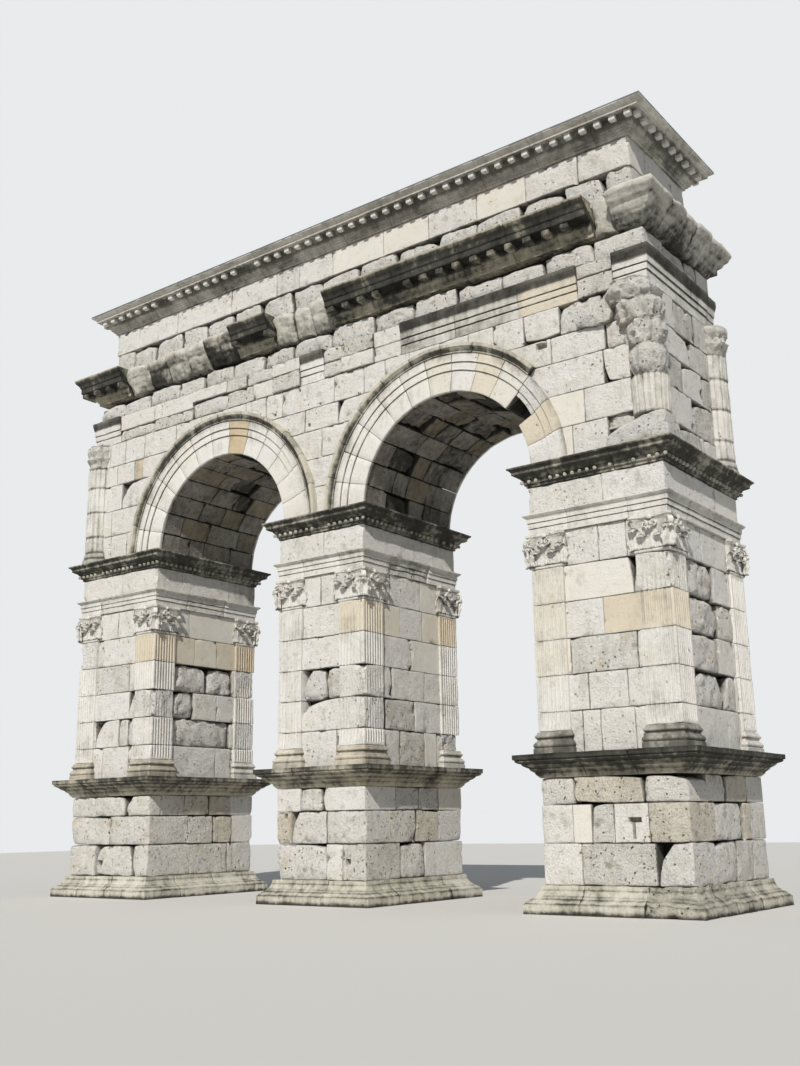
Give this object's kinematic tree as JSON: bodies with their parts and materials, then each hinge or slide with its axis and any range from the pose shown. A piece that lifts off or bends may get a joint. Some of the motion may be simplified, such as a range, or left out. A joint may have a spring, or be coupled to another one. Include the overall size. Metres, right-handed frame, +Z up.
{
  "type": "two-bay triumphal arch",
  "caption": "Weathered stone triumphal arch: round-headed passages between piers with fluted pilasters, under a broken cornice and a dentilled attic.",
  "frame": {"origin": "centre of the footprint, on the ground", "axes": "+X along the front face to the viewer's right, +Y from the front face to the back, +Z up"},
  "size_m": [16.682, 4.122, 15],
  "materials": {
    "pale_limestone": "rough",
    "weathered_limestone": "rough",
    "vault_limestone": "rough",
    "lead_grey_metal": "matte"
  },
  "bodies": {
    "root": {"left_base": "weathered_limestone", "left_dado": "pale_limestone", "left_pedestal_cornice": "weathered_limestone", "left_wall": "pale_limestone", "left_pilasters": "pale_limestone", "left_capitals": "pale_limestone", "left_architrave": "pale_limestone", "left_band": "pale_limestone", "left_impost_cornice": "weathered_limestone", "middle_base": "weathered_limestone", "middle_dado": "pale_limestone", "middle_pedestal_cornice": "weathered_limestone", "middle_wall": "pale_limestone", "middle_pilasters": "pale_limestone", "middle_capitals": "pale_limestone", "middle_architrave": "pale_limestone", "middle_band": "pale_limestone", "middle_impost_cornice": "weathered_limestone", "right_base": "weathered_limestone", "right_dado": "pale_limestone", "right_pedestal_cornice": "weathered_limestone", "right_wall": "pale_limestone", "right_pilasters": "pale_limestone", "right_capitals": "pale_limestone", "right_architrave": "pale_limestone", "right_band": "pale_limestone", "right_impost_cornice": "weathered_limestone", "left_vault": "vault_limestone", "left_front_archivolt": "pale_limestone", "left_back_archivolt": "pale_limestone", "right_vault": "vault_limestone", "right_front_archivolt": "pale_limestone", "right_back_archivolt": "pale_limestone", "left_upper_wall": "pale_limestone", "middle_upper_wall": "pale_limestone", "right_upper_wall": "pale_limestone", "corner_columns": "pale_limestone", "great_architrave": "pale_limestone", "frieze": "pale_limestone", "main_cornice": "weathered_limestone", "attic_wall": "pale_limestone", "attic_cornice": "pale_limestone", "roof_capping": "lead_grey_metal"}
  },
  "joints": []
}
